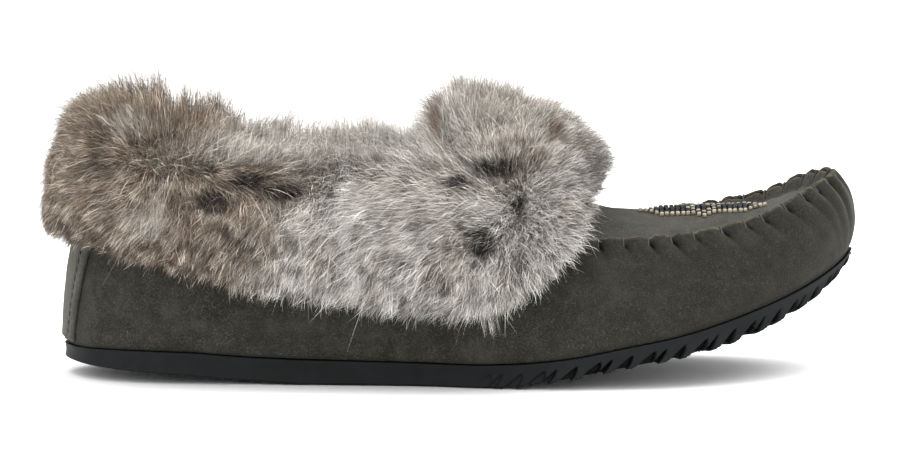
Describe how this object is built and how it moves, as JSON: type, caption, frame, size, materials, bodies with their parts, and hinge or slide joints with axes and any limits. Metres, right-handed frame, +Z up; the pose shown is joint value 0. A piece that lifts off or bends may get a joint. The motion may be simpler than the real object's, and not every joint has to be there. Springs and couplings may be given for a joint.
{
  "type": "fur-collared moccasin slipper",
  "caption": "Low suede moccasin house slipper with a folded-down fur collar, beaded plug and notched rubber sole; right foot.",
  "frame": {"origin": "on the floor under the middle of the slipper's bounding box", "axes": "+X towards the toe, +Z up, -Y the outer (lateral) side"},
  "size_m": [0.2636, 0.1134, 0.096],
  "materials": {
    "sole_rubber": "moulded, satin with a fine grain, dusty edges",
    "filler_felt": "needled felt",
    "insole_board": "pressed fibre board",
    "footbed_foam": "soft open-cell foam",
    "lining_fleece": "curly pile fleece",
    "body_suede": "dark olive-grey suede with a short nap",
    "plug_suede": "slightly lighter suede, short nap",
    "seam_thread": "waxed twisted thread",
    "bead_cream": "pearly cream glass, opaque",
    "bead_navy": "glossy near-black blue glass, opaque",
    "pelt_leather": "undyed soft leather",
    "rabbit_fur": "dense long rabbit fur, banded grey-brown with light tips"
  },
  "bodies": {
    "root": {"outsole": "sole_rubber", "bottom_filler": "filler_felt", "insole_board": "insole_board", "footbed_foam": "footbed_foam", "footbed_fleece": "lining_fleece", "moccasin_body": "body_suede", "heel_stay": "body_suede", "heel_stay_thread": "seam_thread", "heel_counter": "insole_board", "fleece_lining": "lining_fleece", "vamp_plug": "plug_suede", "plug_lining": "lining_fleece", "plug_seam_thread": "seam_thread", "beads_outline": "bead_cream", "beads_inside": "bead_navy", "cuff_leather": "pelt_leather", "collar_thread": "seam_thread", "fur_heel": "rabbit_fur", "fur_lateral": "rabbit_fur", "fur_front_lateral": "rabbit_fur", "fur_front_medial": "rabbit_fur", "fur_medial": "rabbit_fur"}
  },
  "joints": []
}
